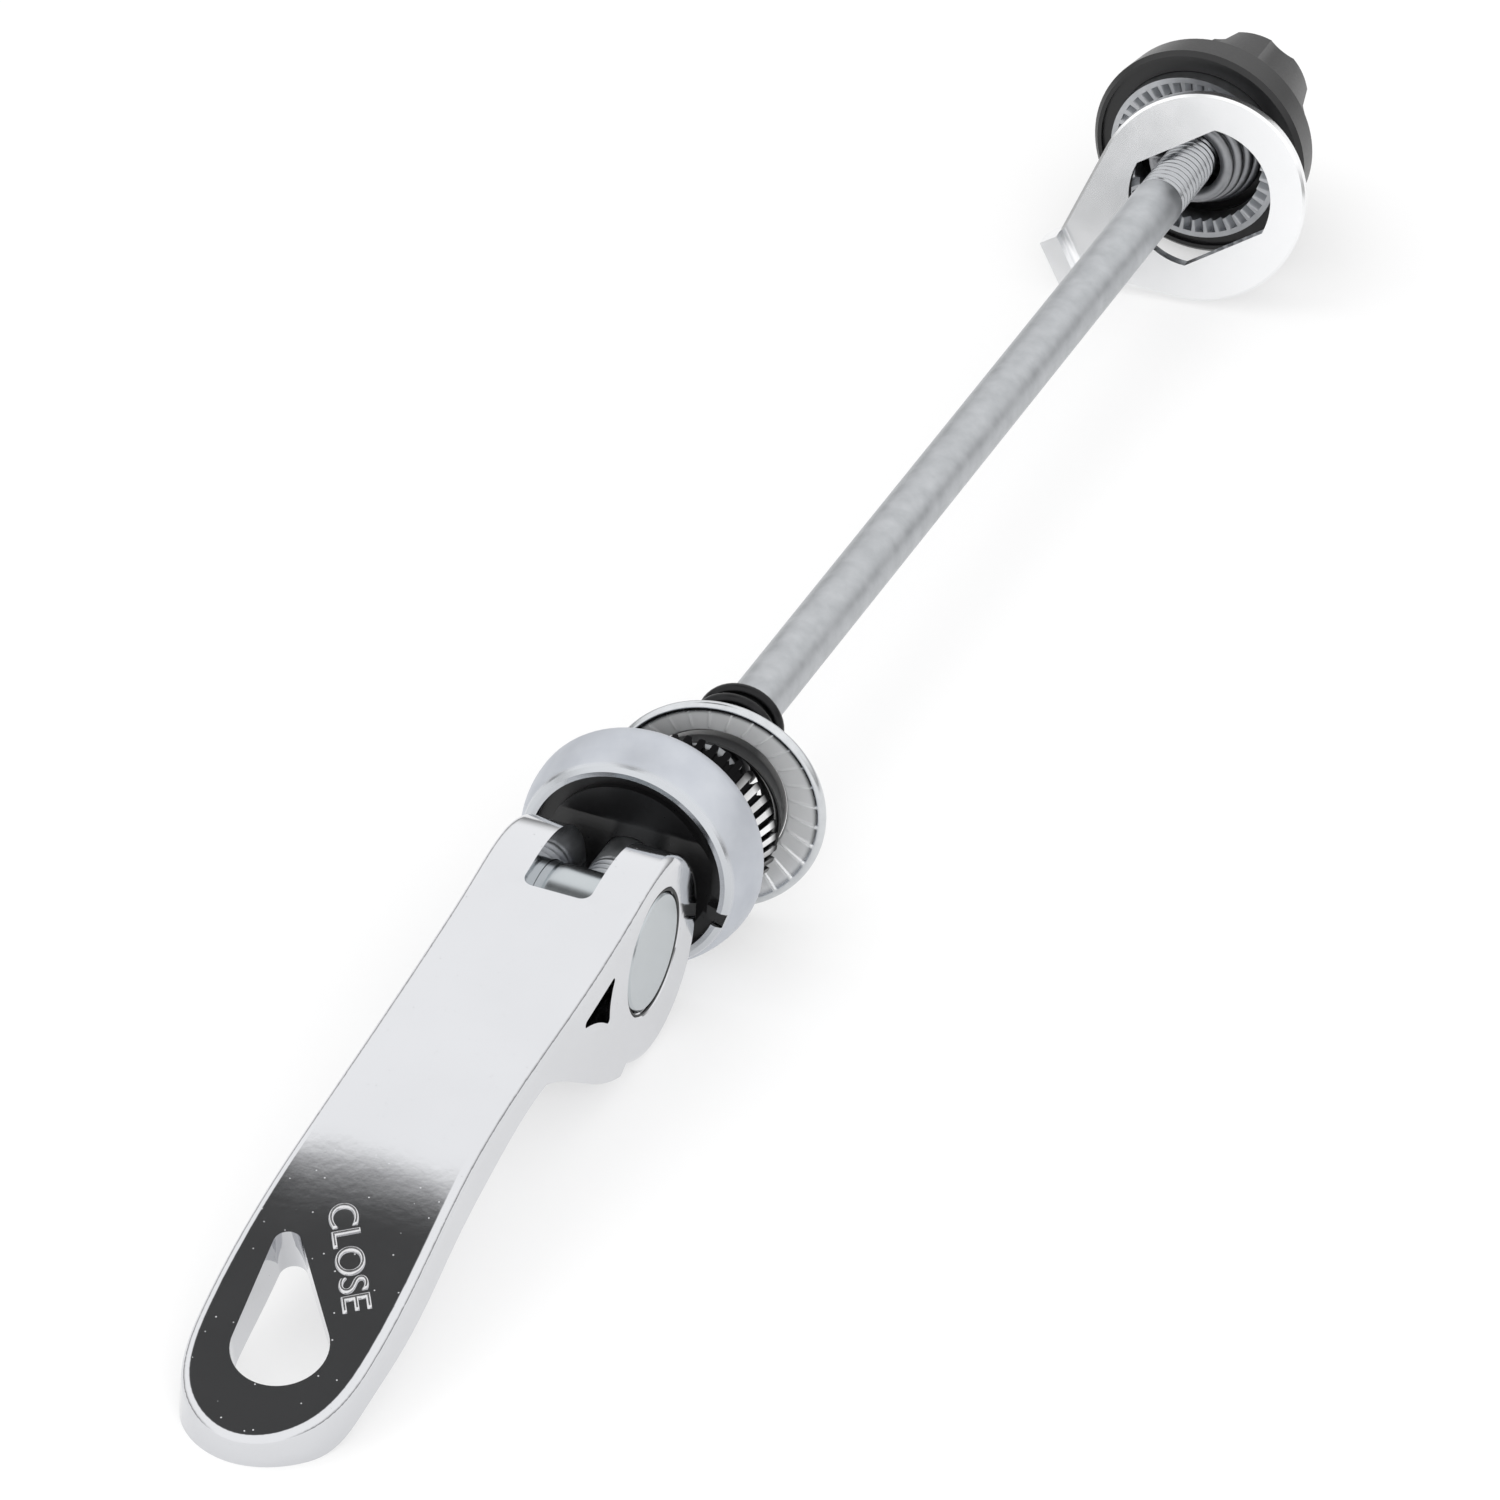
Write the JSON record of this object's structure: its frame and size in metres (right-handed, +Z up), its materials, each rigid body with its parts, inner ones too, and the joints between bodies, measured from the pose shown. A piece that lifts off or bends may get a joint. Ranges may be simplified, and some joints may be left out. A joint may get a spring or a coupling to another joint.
{
  "type": "bicycle quick release skewer",
  "caption": "Quick release skewer: a thin steel rod with a chromed cam lever and spring cup at one end and a black thumb nut with a hooked safety washer at the other.",
  "frame": {"origin": "on the table under the middle of the skewer, which lies flat with its lever straight out", "axes": "+X along the rod from the lever to the nut, +Y across it along the lever pivot, +Z up"},
  "size_m": [0.246, 0.0244, 0.0226],
  "materials": {
    "zinc_rod": "dull zinc plate",
    "barrel_steel": "turned, plated",
    "lever_chrome": "bright chrome plate",
    "cup_zinc": "bluish zinc plate",
    "saddle_black": "moulded black",
    "cup_ring_dark": "blackened, bright crests",
    "spring_black": "black oxide",
    "hook_plate": "bright plate",
    "spring_grey": "dark phosphate",
    "ring_plate": "bright plate",
    "nut_black": "moulded black",
    "insert_steel": "plain steel"
  },
  "bodies": {
    "skewer": {"skewer_rod": "zinc_rod", "cam_barrel": "barrel_steel"},
    "lever_arm": {"lever": "lever_chrome"},
    "cup": {"lever_cup": "cup_zinc", "cam_saddle": "saddle_black", "cup_ring": "cup_ring_dark", "lever_spring": "spring_black"},
    "dish": {"dish_washer": "cup_zinc"},
    "nut_carrier": {"nut_spring": "spring_grey"},
    "nut": {"nut_body": "nut_black", "nut_ring": "ring_plate", "nut_insert": "insert_steel"},
    "hook": {"hook_washer": "hook_plate"}
  },
  "joints": [
    {"name": "lever_pivot", "type": "hinge", "parent": "skewer", "child": "lever_arm", "pos_m": [-0.0504, 0, 0.0113], "axis": [0, -1, 0], "range_deg": [-90, 85]},
    {"name": "cup_slide", "type": "slide", "parent": "skewer", "child": "cup", "axis": [1, 0, 0], "range_m": [-0.0012, 0.006]},
    {"name": "dish_slide", "type": "slide", "parent": "cup", "child": "dish", "axis": [1, 0, 0], "range_m": [-0.0004, 0.06]},
    {"name": "nut_travel", "type": "slide", "parent": "skewer", "child": "nut_carrier", "axis": [1, 0, 0], "range_m": [-0.00725, 0.00325]},
    {"name": "nut_turn", "type": "hinge", "parent": "nut_carrier", "child": "nut", "pos_m": [0.1101, 0, 0.0113], "axis": [1, 0, 0], "range_deg": [-3240, 1440]},
    {"name": "hook_slide", "type": "slide", "parent": "nut_carrier", "child": "hook", "axis": [1, 0, 0], "range_m": [-0.03, 0]}
  ],
  "couplings": [
    {"joint": "nut_travel", "follows": "nut_turn", "m_per_rad": 0.00012732}
  ]
}
